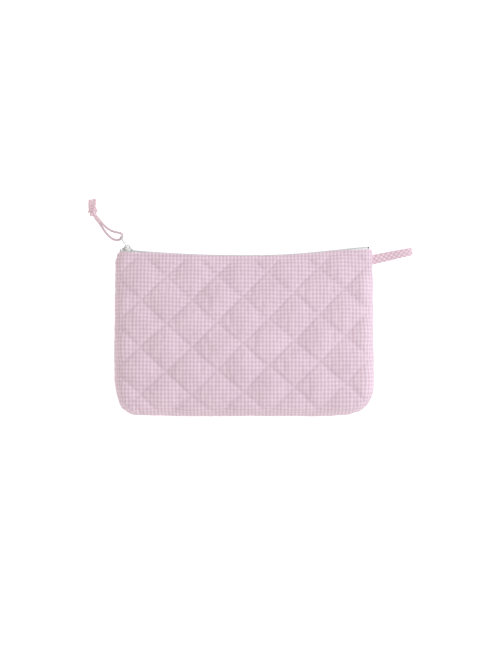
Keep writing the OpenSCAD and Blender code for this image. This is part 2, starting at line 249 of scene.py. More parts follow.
def gingham(name, white, pink, check_w, check_l, bias=0.0, thread=0.42, weft_pink=None):
    """Yarn-dyed plain-weave cotton: white and pink stripes both ways, so that the
    crossings are white, mixed and pink. It is matt, with a faint bloom of fibres.
    check_w and check_l are one white and one pink stripe, and thread a thread, in mm."""
    made, tree = new_material(name)
    cloth = add(tree, "UVMap", {"uv_map": "cloth"})
    turned = add(tree, "Mapping", {"Rotation": (0, 0, bias)}, {"Vector": cloth.outputs[0]})
    # Threads drift a little, so no stripe is ruler-straight.
    drift = add(tree, "TexNoise", {"Scale": 60.0, "Detail": 2.0}, {"Vector": turned.outputs[0]})
    drift = add(tree, "VectorMath", {"operation": "MULTIPLY_ADD", 1: (0.6 * MM, 0.6 * MM, 0)},
                {0: drift.outputs[1], 2: turned.outputs[0]})
    checks = add(tree, "VectorMath", {
        "operation": "MULTIPLY",
        1: (2 * math.pi / (check_w * MM), 2 * math.pi / (check_l * MM), 0)}, {0: drift.outputs[0]})
    checks = add(tree, "VectorMath", {"operation": "SINE"}, {0: checks.outputs[0]})
    stripe = add(tree, "SeparateXYZ", links={0: checks.outputs[0]})
    ways = []
    for way, tint in enumerate((pink, weft_pink or pink)):
        edge = add(tree, "MapRange", {"From Min": -0.18, "From Max": 0.18},
                   {"Value": stripe.outputs[way]})
        ways.append(add(tree, "Mix", {"data_type": "RGBA", 6: linear(white), 7: linear(tint)},
                        {0: edge.outputs[0]}))
    warp, weft = ways
    # Real threads lie about 0.25 mm apart; they are drawn wider so that they show.
    threads = add(tree, "VectorMath", {
        "operation": "SCALE", "Scale": math.pi / (thread * MM)}, {0: drift.outputs[0]})
    threads = add(tree, "VectorMath", {"operation": "SINE"}, {0: threads.outputs[0]})
    threads = add(tree, "SeparateXYZ", links={0: threads.outputs[0]})
    over = add(tree, "Math", {"operation": "MULTIPLY"},
               {0: threads.outputs[0], 1: threads.outputs[1]})
    pick = add(tree, "MapRange", {"From Min": -0.25, "From Max": 0.25}, {"Value": over.outputs[0]})
    woven = add(tree, "Mix", {"data_type": "RGBA"},
                {0: pick.outputs[0], 6: warp.outputs[2], 7: weft.outputs[2]})
    # Washing leaves the dye a little uneven, and single yarns vary.
    patch = add(tree, "TexNoise", {"Scale": 38.0, "Detail": 3.0}, {"Vector": turned.outputs[0]})
    worn = add(tree, "MapRange", {
        "From Min": 0.3, "From Max": 0.7, "To Min": 0.955, "To Max": 1.045},
        {"Value": patch.outputs[0]})
    slub = add(tree, "VectorMath", {"operation": "MULTIPLY", 1: (260.0, 2400.0, 1.0)},
               {0: turned.outputs[0]})
    slub = add(tree, "TexNoise", {"Scale": 1.0, "Detail": 1.0}, {"Vector": slub.outputs[0]})
    yarn = add(tree, "MapRange", {"From Min": 0.3, "From Max": 0.7, "To Min": 0.95, "To Max": 1.04},
               {"Value": slub.outputs[0]})
    both = add(tree, "Math", {"operation": "MULTIPLY"}, {0: worn.outputs[0], 1: yarn.outputs[0]})
    dyed = add(tree, "VectorMath", {"operation": "SCALE"},
               {0: woven.outputs[2], "Scale": both.outputs[0]})
    lift = add(tree, "Math", {"operation": "ABSOLUTE"}, {0: over.outputs[0]})
    relief = add(tree, "Math", {"operation": "MULTIPLY_ADD", 1: 0.5},
                 {0: slub.outputs[0], 2: lift.outputs[0]})
    finished(tree, relief.outputs[0], 0.55, 0.00016, {
        "Roughness": 0.88, "Sheen Weight": 0.22, "Sheen Roughness": 0.45,
        "Sheen Tint": linear("#fff2f6"), "Specular IOR Level": 0.25}, dyed.outputs[0])
    return made


on_bias = math.pi / 4
cord_gingham = gingham("bias_cut_gingham_cord", "#f0e0e5", "#cdaeb8", 1.6, 1.6, bias=on_bias,
                       thread=0.3)
cord_route = np.array([
    [-138.2, 109.3, 3.7], [-136.9, 107.3, 3.5], [-134.4, 104.2, 3.2], [-132.2, 100.8, 3.2],
    [-129.8, 97.2, 3.9], [-127.0, 93.6, 5.2], [-123.8, 90.4, 7.0], [-120.2, 88.0, 9.2],
    [-116.8, 87.2, 11.0], [-114.2, 87.8, 12.0], [-112.2, 89.4, 12.4], [-111.8, 91.5, 12.4],
    [-113.0, 93.2, 12.0], [-115.4, 94.0, 11.2], [-118.6, 94.7, 10.0], [-122.0, 95.9, 8.4],
    [-125.2, 97.7, 6.6], [-128.2, 100.1, 5.0], [-131.0, 103.0, 4.0], [-133.4, 105.9, 3.7],
    [-135.3, 108.3, 3.7], [-136.6, 110.3, 3.7]])
cord_d = 1.6
flat_w = cord_d * 1.35
flat_t = cord_d * 0.85
cord_path = smooth_path(cord_route, 0.5)
pull_cord = strand("gingham_pull_cord", cord_path, flat_w, flat_t, squareness=2.8)
dress(pull_cord, cord_gingham)
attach(pull_cord, "pull_cord")
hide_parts("pull_cord")


# ---- knot in the pull cord -----------------------------------------------------
# Both strands are tied together in one overhand knot, and its two flat tails of
# folded gingham stick out past it. The folds of the strip show as ridges.

knot_at = np.array([-139.9, 114.4, 4.0])
tail_tips = np.array([[-142.3, 124.2, 2.4], [-138.6, 124.9, 2.4]])
knot_turn = math.radians(124)
knot_way = np.array([math.cos(knot_turn), math.sin(knot_turn), 0.0])
knot_side = np.array([knot_way[1], -knot_way[0], 0.0])
wrap_w = 3.2
wrap_t = 1.9
tail_t = 2.1


def joined(name, pieces):
    """One object from several, keeping their cloth coordinates and materials."""
    mesh = bpy.data.meshes.new(name)
    whole = bmesh.new()
    for piece in pieces:
        whole.from_mesh(piece.data)
    whole.to_mesh(mesh)
    whole.free()
    for made in pieces[0].data.materials:
        mesh.materials.append(made)
    for piece in pieces:
        bpy.data.objects.remove(piece)
    return place(bpy.data.objects.new(name, mesh))


def knot_wrap(shift, lean, out, tall):
    """One turn of the strip round the strands, leaning across the knot."""
    turn = np.linspace(0, 2 * np.pi, 40)
    across = knot_side * out
    up = np.array([0, 0, tall])
    loop = (knot_at + knot_way * shift + np.cos(turn)[:, None] * across
            + np.sin(turn)[:, None] * up
            + knot_way * (lean * np.sin(turn + 0.6))[:, None])
    return strand("wrap", loop, wrap_w, wrap_t, sides=12, up=tuple(knot_way),
                  end_round=False, squareness=2.6)


neck = smooth_path(np.array([
    [-132.6, 103.1, 3.5], [-133.9, 105.0, 3.5], [-136.1, 107.8, 3.7], [-137.8, 110.3, 3.8],
    [-139.3, 113.2, 4.0]]), 0.5)
knot_parts = [
    knot_wrap(-1.5, 0.8, 2.9, 2.2),
    knot_wrap(1.4, -0.6, 3.0, 2.3),
    strand("core", smooth_path(np.array([
        knot_at - knot_way * 3.8, knot_at, knot_at + knot_way * 3.6]), 0.8), 5.8, 4.4, sides=16),
    strand("neck", neck, np.linspace(2.7, 3.9, len(neck)), 2.3, sides=14, squareness=2.8),
]
for hand, tip in zip((-1, 1), tail_tips):
    start = knot_at + knot_way * 1.2 + knot_side * 1.5 * hand
    bend = (start + tip) / 2 + np.array([0.25 * hand, 0, 0.9])
    tail = smooth_path(np.array([start, bend, tip + np.array([0.0, 0.9, 0.4])]), 0.5)
    widths = np.interp(np.linspace(0, 1, len(tail)), [0, 0.4, 1], [3.3, 3.5, 3.3])
    knot_parts.append(strand("tail", tail, widths, tail_t, sides=16, squareness=3.0,
                             end_round=False))
knot_gingham = gingham("bias_cut_gingham_knot", "#f8e8ed", "#dba9b8", 2.2, 2.2, bias=on_bias,
                       thread=0.3)
for part in knot_parts:
    dress(part, knot_gingham)
knot = joined("pull_cord_knot_gingham", knot_parts)
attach(knot, "pull_cord")
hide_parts("pull_cord_knot")


# ---- the bag's form -----------------------------------------------------------
# Front and back are two quilted panels that meet in a seam round the sides and
# the base. Filled, the bag is fullest near its base and thin at its mouth. Each
# panel is a cloth surface worked out here once, and its layers follow it.

hinges = {j["name"]: j for j in frame["joints"]}
low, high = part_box("back_cotton")
half_w = (high.x - low.x) / 2 / MM
base_y = low.y / MM
bag_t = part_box("front_cotton")[1].z / MM
mouth_z = hinges["slider_travel"]["pos_m"][2] / MM
zip_centre = hinges["slider_travel"]["pos_m"][1] / MM
seam_base_z = hinges["mouth_open"]["pos_m"][2] / MM
mouth_y = -base_y
bag_h = mouth_y - base_y
zip_r = zip_centre - mouth_y
mouth_half = 9.0
side_round = 15.0
base_round = 16.0
fullness = 2.5
corner = {-1: (12.0, 2.2), 1: (31.0, 2.6)}
taper = {-1: 8.0, 1: 0.0}
taper_h = 32.0
top_corner = {-1: 3.0, 1: 2.0}
shoulder = {-1: (66.0, 3.8), 1: (60.0, 0.4)}
heel = 1.1
heel_from, heel_over, heel_h = 55, 50, 30
fold_fall = {1: 1.9, -1: 2.2}
end_dip = 1.5
dip_from, dip_over = 84, 24
end_rise = 2.3
rise_from, rise_over = 25, 85
fold_r = 1.5
flap = 6.0


def zip_y(x, fall=0.0):
    """The zip's curve at x, with a fall towards the base. Its free end rides up a little."""
    share = np.clip((x - rise_from) / rise_over, 0, 1)
    rise = end_rise * share * share * (3 - 2 * share)
    return zip_centre - np.sqrt((zip_r + fall) ** 2 - x ** 2) + rise


def seam_z(y):
    return seam_base_z + (mouth_z - seam_base_z) * (y - base_y) / bag_h


def half_width(y, hand):
    """Half the bag's width at y, on the left (-1) or right (1)."""
    r, power = corner[hand]
    rise = np.clip(r - (y - base_y), 0, r)
    drawn_in = taper[hand] * np.clip(1 - (y - base_y) / taper_h, 0, 1) ** 1.5
    from_y, slope_in = shoulder[hand]
    drawn_in = drawn_in + slope_in * np.clip((y - from_y) / (mouth_y + 3 - from_y), 0, 1) ** 1.4
    return half_w - drawn_in - r + (r ** power - rise ** power) ** (1 / power)


def base_line(x):
    """The outline's lowest y at x."""
    ys = base_y + np.linspace(0, 45, 181)
    left = np.interp(-x, half_width(ys, -1), ys)
    right = np.interp(x, half_width(ys, 1), ys)
    return np.where(x < 0, left, right)


def heel_lift(x, y):
    """The base rises a little towards its two corners."""
    along = np.clip((np.abs(x) - heel_from) / heel_over, 0, 1)
    return heel * along * along * (3 - 2 * along) * np.clip(1 - (y - base_y) / heel_h, 0, 1)


fullest_at = 0.78
crown_gap = 1.5
end_fall = 2.6
back_lift, back_lift_h = 3.0, 18


def face_height(side, x, y):
    """How far a panel's face stands from the seam, before its edges turn in."""
    u = np.clip((mouth_y - y) / bag_h, 0, 1)
    if side > 0:
        crown = mouth_z + mouth_half + (bag_t - mouth_z - mouth_half - crown_gap) * np.sin(
            np.pi / 2 * np.minimum(u / fullest_at, 1))
        crown = crown - end_fall * (x / half_w) ** 2 * np.sin(np.pi * np.minimum(u / 0.9, 1))
        return crown - seam_z(y)
    rise = back_lift * np.clip(1 - u * bag_h / back_lift_h, 0, 1) ** 2
    return seam_z(y) - rise


def noise(x, y, seed):
    """Smooth random height, from -1 to 1, at points in units of its grain."""
    table = np.random.default_rng(seed).uniform(-1, 1, (64, 64))
    i, j = np.floor(x).astype(int), np.floor(y).astype(int)
    fx, fy = x - i, y - j
    fx, fy = fx * fx * (3 - 2 * fx), fy * fy * (3 - 2 * fy)
    a, b = table[j % 64, i % 64], table[j % 64, (i + 1) % 64]
    c, d = table[(j + 1) % 64, i % 64], table[(j + 1) % 64, (i + 1) % 64]
    return (a * (1 - fx) + b * fx) * (1 - fy) + (c * (1 - fx) + d * fx) * fy


quilt_w = 46.1
quilt_h = 42.7
quilt_at = (-1.8, -8.0)
quilt_skew = 0.072
quilt_level = -47.0
line_gap = 1 / math.hypot(1 / quilt_w, 1 / quilt_h)
stray = 0.7
stray_grain = 17
pull_reach = 1.3


def quilt_lines(x, y):
    """Each point's two lattice numbers: a quilting line runs where one is whole."""
    y = y - quilt_skew * (np.maximum(x, quilt_level) - quilt_at[0])
    across, along = (x - quilt_at[0]) / quilt_w, (y - quilt_at[1]) / quilt_h
    return across + along, across - along


def quilt_drift(x, y, seed):
    """How far the needle strays off its line at a point, across and along, in mm."""
    return [stray * noise(x / stray_grain, y / stray_grain, seed + k) for k in (5, 6)]


def quilt_relief(x, y, seed):
    """Height of the padded cloth over its stitches before it settles, and its distance
    from the nearest line of stitches, at unrolled points in mm."""
    stray_x, stray_y = quilt_drift(x, y, seed)
    p, q = quilt_lines(x + stray_x, y + stray_y)
    dp, dq = np.abs(p - np.round(p)) * line_gap, np.abs(q - np.round(q)) * line_gap
    pulled = (1 - np.exp(-dp / pull_reach)) * (1 - np.exp(-dq / pull_reach))
    dome = np.abs(np.sin(np.pi * p) * np.sin(np.pi * q)) ** 0.8
    # The cloth is slack across and tight from point to point, so each diamond
    # stands up in a soft ridge with a crease or two beside it.
    pick = noise(np.floor(p) * 3.1 + 0.5, np.floor(q) * 2.7 + 0.5, seed + 1)
    off = (p + q) - (np.floor(p) + np.floor(q) + 1) + 0.16 * noise(y / 9, x / 23, seed + 2)
    tall = 1 - np.abs((p - q) - (np.floor(p) - np.floor(q)))
    roof = np.clip(tall - np.sqrt(off ** 2 + 0.01), 0, 1) * (0.8 + 0.6 * pick)
    folds = noise(x / 3.2, y / 14, seed + 3)
    rise = pulled * (0.5 + 0.6 * dome + 0.8 * roof + 0.35 * folds * dome)
    return rise, np.minimum(dp, dq)


sheet_step = 1.5
sheet_x = np.arange(-135, 135.1, sheet_step)
sheet_y = np.arange(-90, 90.1, sheet_step)
sim_scale = 0.01
sim_frames = 12
growth = 0.02
tallest = 4.2


def settled(seed):
    """A cloth simulation of one quilted sheet, laid flat: the cotton has 2% to spare, it is
    held down along its stitches, and the batting pushes it up. Gives its height as a grid."""
    x, y = np.meshgrid(sheet_x, sheet_y)
    rise, near = quilt_relief(x, y, seed)
    rows, cols = x.shape
    first = (np.arange(rows - 1)[:, None] * cols + np.arange(cols - 1)).ravel()
    faces = np.stack([first, first + 1, first + cols + 1, first + cols], axis=1)
    mesh = bpy.data.meshes.new("sheet_to_settle")
    flat = np.stack([x, y, rise], axis=2).reshape(-1, 3) * sim_scale
    mesh.from_pydata(flat.tolist(), [], faces.tolist())
    sheet = place(bpy.data.objects.new("sheet_to_settle", mesh))
    held = near < 0.75 * sheet_step
    held[[0, -1]] = True
    held[:, [0, -1]] = True
    sewn = sheet.vertex_groups.new(name="sewn")
    sewn.add(np.nonzero(held.ravel())[0].tolist(), 1.0, "REPLACE")
    cloth = sheet.modifiers.new("settle", "CLOTH")
    cloth.collision_settings.use_collision = False
    rules = cloth.settings
    rules.vertex_group_mass = "sewn"
    rules.shrink_min = -growth
    rules.quality = 5
    rules.mass = 0.05
    rules.tension_stiffness = 15
    rules.compression_stiffness = 15
    rules.shear_stiffness = 5
    rules.bending_stiffness = 0.05
    rules.air_damping = 1
    rules.use_pressure = True
    rules.uniform_pressure_force = 1.0
    rules.effector_weights.gravity = 0
    for frame_number in range(1, sim_frames + 1):
        scene.frame_set(frame_number)
    done = sheet.evaluated_get(bpy.context.evaluated_depsgraph_get())
    co = np.zeros(rows * cols * 3)
    done.data.vertices.foreach_get("co", co)
    bpy.data.objects.remove(sheet)
    bpy.data.meshes.remove(mesh)
    scene.frame_set(1)
    return np.clip(co.reshape(rows, cols, 3)[..., 2] / sim_scale, 0, tallest)


def from_sheet(heights, x, y):
    """A settled sheet's height at unrolled points."""
    i = np.clip((x - sheet_x[0]) / sheet_step, 0, len(sheet_x) - 1.001)
    j = np.clip((y - sheet_y[0]) / sheet_step, 0, len(sheet_y) - 1.001)
    i0, j0 = i.astype(int), j.astype(int)
    fi, fj = i - i0, j - j0
    below = heights[j0, i0] * (1 - fi) + heights[j0, i0 + 1] * fi
    above = heights[j0 + 1, i0] * (1 - fi) + heights[j0 + 1, i0 + 1] * fi
    return below * (1 - fj) + above * fj


channel_w = 0.9
channel_depth = 1.0


def quilting(x, y, seed, heights):
    """Height of the padded cloth over its lining, as the quilting pulls it in."""
    near = quilt_relief(x, y, seed)[1]
    channel = 1 - np.exp(-(near / channel_w) ** 2)
    return -channel_depth + 0.4 * channel + 1.05 * from_sheet(heights, x, y) * channel


roll_steps = 15
face_cols = 190
face_rows = 112
fold_steps = 8
flap_rows = 5
face_end = roll_steps + face_rows
top_down = 4.6
seam_pull = 1.3
corner_at = (-114, -78)
back_most = 0.25


def panel_form(side):
    """A panel's smooth surface, its normals and its unrolled cloth coordinates."""
    theta = np.linspace(0, np.pi / 2, roll_steps + 1)
    inset = 1 - np.cos(theta) ** (2 / fullness)
    share = np.concatenate([
        -1 - (side_round - side_round * inset[:-1]) / 1000,
        np.linspace(-1, 1, face_cols + 1),
        1 + (side_round - side_round * inset[:-1][::-1]) / 1000])
    base_rows = base_y + base_round * inset[:-1]
    face_t = np.linspace(0, 1, face_rows + 1)
    grid_x, grid_y = [], []
    rough_x = np.clip(share, -1, 1) * (half_w - side_round) + np.where(
        np.abs(share) > 1, np.sign(share) * (np.abs(share) - 1) * 1000, 0)
    turn_r = np.where(rough_x < 0, top_corner[-1], top_corner[1])
    drop = turn_r - np.sqrt(np.maximum(
        turn_r ** 2 - np.maximum(np.abs(rough_x) - (half_w - turn_r), 0) ** 2, 0))
    dip = np.clip((np.abs(rough_x) - dip_from) / dip_over, 0, 1)
    top = zip_y(rough_x) - fold_fall[side] - drop - end_dip * dip * dip * (3 - 2 * dip)
    face_end = top - fold_r
    for y in base_rows:
        grid_y.append(np.full(share.shape, y))
    for t in face_t:
        grid_y.append((base_y + base_round) * (1 - t) + face_end * t)
    grid_y = np.array(grid_y)
    flat_part = np.clip(share, -1, 1)
    past = np.where(np.abs(share) > 1, (np.abs(share) - 1) * 1000, 0)
    left, right = half_width(grid_y, -1), half_width(grid_y, 1)
    reach_here = np.where(share[None, :] < 0, left, right)
    grid_x = flat_part * (reach_here - side_round) + np.sign(flat_part) * past
    a = np.clip(past / side_round, 0, 1)
    b = np.clip(1 - (grid_y - base_line(grid_x)) / base_round, 0, 1)
    turned = ((1 - a ** fullness) * (1 - b ** fullness)) ** (1 / fullness)
    swell = face_height(side, grid_x, grid_y) * turned
    z = seam_z(grid_y) + side * swell
    face = np.stack([grid_x, grid_y, z], axis=2)
    # The mouth: the cloth turns over a soft fold and runs down inside.
    edge = face[-1]
    r = np.minimum(fold_r, 0.42 * swell[-1])
    more = []
    for k in range(1, fold_steps + 1):
        turn = np.pi * k / fold_steps
        more.append(edge + np.stack([
            np.zeros_like(r), fold_r * np.sin(turn) * np.ones_like(r),
            side * (-r + r * np.cos(turn))], axis=1))
    inside = len(face) - 1
    for k in range(1, flap_rows + 1):
        row = face[inside - int(round(flap * k / flap_rows / (bag_h / face_rows)))].copy()
        row[:, 2] -= side * np.minimum(2 * r, 2 * fold_r)
        more.append(row)
    whole = np.concatenate([face, np.array(more)])
    whole[..., 1] += heel_lift(whole[..., 0], whole[..., 1])
    # Unrolled coordinates: plan distances on the face, true lengths on its turns.
    step_x = np.diff(whole, axis=1)
    in_roll = (np.abs(share[1:] + share[:-1]) > 2)[None, :]
    run_x = np.sqrt(step_x[..., 0] ** 2 + np.where(in_roll, step_x[..., 2] ** 2
                                                   + step_x[..., 1] ** 2, 0))
    u = np.concatenate([np.zeros((len(whole), 1)), np.cumsum(run_x, axis=1)], axis=1)
    middle = len(share) // 2
    u -= u[:, middle:middle + 1]
    step_y = np.diff(whole, axis=0)
    rows = np.arange(len(step_y))
    turning = ((rows < roll_steps) | (rows >= roll_steps + face_rows))[:, None]
    run_y = np.where(turning, np.sqrt(step_y[..., 1] ** 2 + step_y[..., 2] ** 2),
                     step_y[..., 1])
    v = np.concatenate([np.zeros((1, len(share))), np.cumsum(run_y, axis=0)])
    v += base_y + base_round - v[roll_steps:roll_steps + 1]
    down = np.gradient(whole, axis=0)
    right_way = np.gradient(whole, axis=1)
    normal = np.cross(right_way, down) * side
    normal /= np.maximum(np.linalg.norm(normal, axis=2), 1e-9)[..., None]
    return whole, normal, u, v, turned


def padded_out(side, seed, heights):
    """A panel's smooth form with its outside as its padding lifts it."""
    whole, normal, u, v, turned = panel_form(side)
    all_turned = turned_rows(turned, len(whole))
    height = quilting(u, v, seed, heights)
    # Where the panel turns down to its seams the padding is stretched almost flat.
    stretched = np.clip((all_turned - 0.72) / 0.26, 0.12, 1)
    height = 0.2 + (height - 0.2) * stretched
    flat = np.ones(len(whole))
    flat[face_end - 1:] = 0
    flat[face_end - 4:face_end - 1] = (0.75, 0.5, 0.25)
    height = height * flat[:, None]
    # The topstitching draws a shallow channel just below the fold.
    down = v[face_end + fold_steps // 2] - v
    on_face = (np.arange(len(whole)) < face_end)[:, None]
    height -= 0.5 * np.exp(-((down - top_down) / 1.1) ** 2) * on_face
    # The side and base seams pull the edge in and pucker the cloth beside it.
    lift = np.zeros_like(height)
    lift[:len(turned)] = np.arcsin(np.clip(turned, 0, 1)) * 14
    lift[len(turned):] = lift[len(turned) - 1]
    seam = np.exp(-(lift / 2.0) ** 2)
    facing = np.ones(len(whole))
    turn = np.pi * np.arange(1, fold_steps + 1) / fold_steps
    facing[face_end:face_end + fold_steps] = np.cos(turn)
    facing[face_end + fold_steps:] = -1
    height = height * (1 - seam) - seam_pull * seam * facing[:, None]
    height += 0.45 * np.exp(-(lift / 7.0) ** 2) * (1 - seam) * noise(
        (u + v) / 4.2, (u - v) / 6.5, seed + 9) * flat[:, None]
    # Soft goods sag and bulge a little over what they hold.
    slack = noise(u / 37, v / 41, seed + 11) * 0.9 * all_turned
    # The base corner by the closed end is boxed a little, so its cloth wraps it in folds.
    from_corner = np.hypot(u - corner_at[0], v - corner_at[1])
    boxed = -0.9 * np.exp(-((from_corner - 13) / 1.7) ** 2)
    boxed += 0.7 * np.exp(-((from_corner - 17) / 2.0) ** 2)
    boxed -= 0.8 * np.exp(-((from_corner - 21.5) / 1.5) ** 2)
    if side > 0:
        height = height + boxed * np.clip(all_turned * 2 - 0.5, 0, 1) * flat[:, None]
    else:
        # The back lies flat on the floor.
        height = np.minimum(height, back_most)
        slack = slack * 0
    height = height + slack * flat[:, None]
    outer = whole + normal * height[..., None]
    if side < 0:
        outer[..., 2] = np.maximum(outer[..., 2], 0.02)
    return whole, normal, u, v, outer


def turned_rows(turned, rows):
    """The face's turn-in, carried on over the rows of its fold."""
    more = np.repeat(turned[-1:], rows - len(turned), axis=0)
    return np.concatenate([turned, more])


def shell(name, outer, inner, u, v):
    """A closed sheet between two grids of the same shape, in mm."""
    rows, cols = outer.shape[:2]
    n = rows * cols
    faces = []
    corners = []
    for j in range(rows - 1):
        for i in range(cols - 1):
            quad = (j * cols + i, j * cols + i + 1, (j + 1) * cols + i + 1, (j + 1) * cols + i)
            faces.append(quad)
            faces.append(tuple(n + k for k in reversed(quad)))
            corners.append(quad)
            corners.append(tuple(reversed(quad)))
    rim = ([i for i in range(cols)] + [j * cols + cols - 1 for j in range(1, rows)]
           + [(rows - 1) * cols + i for i in range(cols - 2, -1, -1)]
           + [j * cols for j in range(rows - 2, 0, -1)])
    for k, here in enumerate(rim):
        after = rim[(k + 1) % len(rim)]
        faces.append((after, here, here + n, after + n))
        corners.append((after, here, here, after))
    cloth = np.stack([u.ravel(), v.ravel()], axis=1)
    return cloth_mesh(name, np.concatenate([outer.reshape(-1, 3), inner.reshape(-1, 3)]),
                      faces, cloth[np.concatenate([np.array(c) for c in corners])])


def open_with_front(obj):
    """Bakes the piece's placing into its mesh, and reads its points."""
    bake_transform(obj)
    co = np.zeros(len(obj.data.vertices) * 3)
    obj.data.vertices.foreach_get("co", co)


def belong(obj, side, *nodes):
    """The piece stands for its CAD nodes, which it hides. A back piece is attached to
    the bag; a front piece only has its placing baked in.
    """
    if side > 0:
        open_with_front(obj)
    else:
        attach(obj, "bag")
    if nodes:
        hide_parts(*nodes)
    return obj


# ---- outer cotton, front and back ---------------------------------------------
# Pink and white cotton gingham with 1/16 inch checks, quilted in diamonds over
# batting. It turns over the mouth's edge and is sewn down beside the zip.

cotton_t = 0.6
seam_clear = 0.12
bag_gingham = gingham("quilted_cotton_gingham", "#ecd8e2", "#cfafbf", 3.25, 3.57,
                      weft_pink="#d9bfcc")
side_name = {1: "front", -1: "back"}
quilt_seed = {1: 20, -1: 50}
form = {}


def kept_apart(points, side, margin=0.0):
    """Keeps a layer on its own side of the seam, and inside the outline by a margin."""
    level = seam_z(points[..., 1])
    apart = points.copy()
    if margin:
        reach_left = half_width(points[..., 1], -1) - margin
        reach_right = half_width(points[..., 1], 1) - margin
        apart[..., 0] = np.clip(points[..., 0], -reach_left, reach_right)
        floor = base_line(apart[..., 0]) + margin
        apart[..., 1] = np.maximum(points[..., 1], floor + heel_lift(apart[..., 0], floor))
    if side > 0:
        apart[..., 2] = np.maximum(points[..., 2], level + seam_clear)
    else:
        apart[..., 2] = np.minimum(points[..., 2], level - seam_clear)
    return apart


def layer(name, node, side, faces, cloth, made, slot):
    """One layer of a panel, from its two faces, and the CAD node that it stands for."""
    piece = shell(side_name[side] + name, *faces, *cloth)
    if side < 0:
        piece.data.flip_normals()
    dress(piece, made)
    return belong(piece, side, side_name[side] + node)


for side in (1, -1):
    seed = quilt_seed[side]
    sheet_heights = settled(seed) if side > 0 else quilt_relief(
        *np.meshgrid(sheet_x, sheet_y), seed)[0]
    form[side] = whole, normal, u, v, outer = padded_out(side, seed, sheet_heights)
    inner = outer - normal * cotton_t
    cotton = layer("_quilted_gingham", "_cotton", side,
                   (kept_apart(outer, side), kept_apart(inner, side)), (u, v),
                   bag_gingham, "gingham_cotton")


# ---- batting ------------------------------------------------------------------
# Polyester wadding between the cotton and the lining. The quilting squeezes it
# thin along each line of stitches, and it stands full in between.

wadding, tree = new_material("polyester_wadding")
tangle = add(tree, "TexNoise", {"Scale": 420.0, "Detail": 6.0, "Roughness": 0.7})
tone = add(tree, "Mix", {"data_type": "RGBA", 6: linear("#f3f1ec"), 7: linear("#fbfbf8")},
           {0: tangle.outputs[0]})
finished(tree, tangle.outputs[0], 0.8, 0.0005, {"Roughness": 0.95, "Sheen Weight": 0.3},
         tone.outputs[2])

batting_in = 2.62
layer_gap = 0.8
squeezed = 0.15
for side in (1, -1):
    whole, normal, u, v, outer = form[side]
    kept = slice(0, face_end - 2, 2), slice(0, None, 2)
    stand = ((outer - whole) * normal).sum(axis=2) - cotton_t - layer_gap
    stand = np.maximum(stand, squeezed - batting_in)
    top = (whole + normal * stand[..., None])[kept]
    under = (whole - normal * batting_in)[kept]
    filling = layer("_wadding", "_batting", side,
                    (kept_apart(top, side, 2.0), kept_apart(under, side, 2.4)),
                    (u[kept], v[kept]), wadding, "batting")


# ---- lining -------------------------------------------------------------------
# Plain white cotton lawn, quilted in with the outer layers, so it is drawn up
# in the same diamonds. Its top edge is caught under the zip's tape.

lawn, tree = new_material("cotton_lawn_lining")
cloth = add(tree, "UVMap", {"uv_map": "cloth"})
yarns = add(tree, "VectorMath", {"operation": "SCALE", "Scale": math.pi / (0.4 * MM)},
            {0: cloth.outputs[0]})
yarns = add(tree, "VectorMath", {"operation": "SINE"}, {0: yarns.outputs[0]})
yarns = add(tree, "SeparateXYZ", links={0: yarns.outputs[0]})
crossing = add(tree, "Math", {"operation": "MULTIPLY"}, {0: yarns.outputs[0], 1: yarns.outputs[1]})
crossing = add(tree, "Math", {"operation": "ABSOLUTE"}, {0: crossing.outputs[0]})
mottle = add(tree, "TexNoise", {"Scale": 45.0, "Detail": 3.0}, {"Vector": cloth.outputs[0]})
tone = add(tree, "Mix", {"data_type": "RGBA", 6: linear("#efe6e8"), 7: linear("#faf6f6")},
           {0: mottle.outputs[0]})
finished(tree, crossing.outputs[0], 0.4, 0.0001, {"Roughness": 0.9, "Sheen Weight": 0.2},
         tone.outputs[2])

lining_in = 2.7
lining_t = 0.4
lining_rows = face_end - int(round((flap + 0.6) / (bag_h / face_rows)))
for side in (1, -1):
    whole, normal, u, v, outer = form[side]
    kept = slice(0, lining_rows, 2), slice(0, None, 2)
    p, q = quilt_lines(u, v)
    drape = 0.7 * np.abs(np.sin(np.pi * p) * np.sin(np.pi * q)) ** 0.7
    drape += 0.25 * noise(u / 9, v / 7, 77 + side) * np.abs(np.sin(np.pi * p))
    hung = (whole - normal * (lining_in + np.maximum(drape, 0))[..., None])[kept]
    back = hung - normal[kept] * lining_t
    layer("_lawn_lining", "_lining", side,
          (kept_apart(hung, side, 2.8), kept_apart(back, side, 3.1)),
          (u[kept], v[kept]), lawn, "lining_cotton")


# ---- seam bindings ------------------------------------------------------------
# Folded cotton twill tape, sewn over the raw seam inside the bag along both
# sides and the base, so that nothing frays.

twill, tree = new_material("cotton_twill_binding")
cloth = add(tree, "UVMap", {"uv_map": "cloth"})
wale = add(tree, "TexWave", {"Scale": 900.0, "Distortion": 0.4, "bands_direction": "DIAGONAL"},
           {"Vector": cloth.outputs[0]})
tone = add(tree, "Mix", {"data_type": "RGBA", 6: linear("#e6d3da"), 7: linear("#f0e2e7")},
           {0: wale.outputs[1]})
finished(tree, wale.outputs[1], 0.5, 0.00015, {"Roughness": 0.85, "Sheen Weight": 0.15},
         tone.outputs[2])

binding_w = 4.6
binding_t = 1.2
binding_drop = 1.2
pull_in = 1.5


